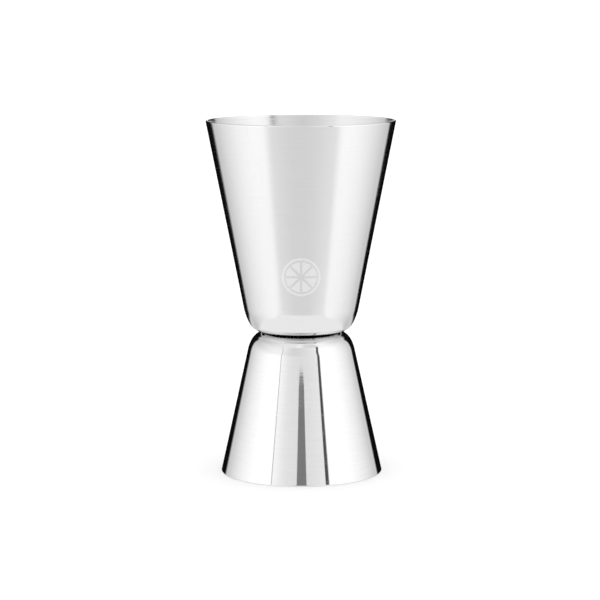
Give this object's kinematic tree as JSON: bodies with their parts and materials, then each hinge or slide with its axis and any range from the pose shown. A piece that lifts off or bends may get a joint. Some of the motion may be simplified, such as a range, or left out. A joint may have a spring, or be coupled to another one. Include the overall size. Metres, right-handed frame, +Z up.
{
  "type": "bar jigger",
  "caption": "Double-ended bar jigger of polished stainless steel: a large and a small tapered cup with rounded bases, spot welded base to base at the waist.",
  "frame": {"origin": "middle of the small cup's rim, in the plane that the jigger stands on", "axes": "+Z up the common axis of both cups, from the small cup to the large cup; -Y towards the etched emblem; +X to its right"},
  "size_m": [0.0462, 0.0462, 0.0865],
  "materials": {
    "large_cup_steel": "satin polish outside, turned grain inside, frosted etched emblem on the front",
    "small_cup_steel": "mirror polish outside, turned grain inside",
    "weld_steel": "as welded"
  },
  "bodies": {
    "root": {"large_cup": "large_cup_steel", "small_cup": "small_cup_steel", "weld_nugget_1": "weld_steel", "weld_nugget_2": "weld_steel", "weld_nugget_3": "weld_steel"}
  },
  "joints": []
}
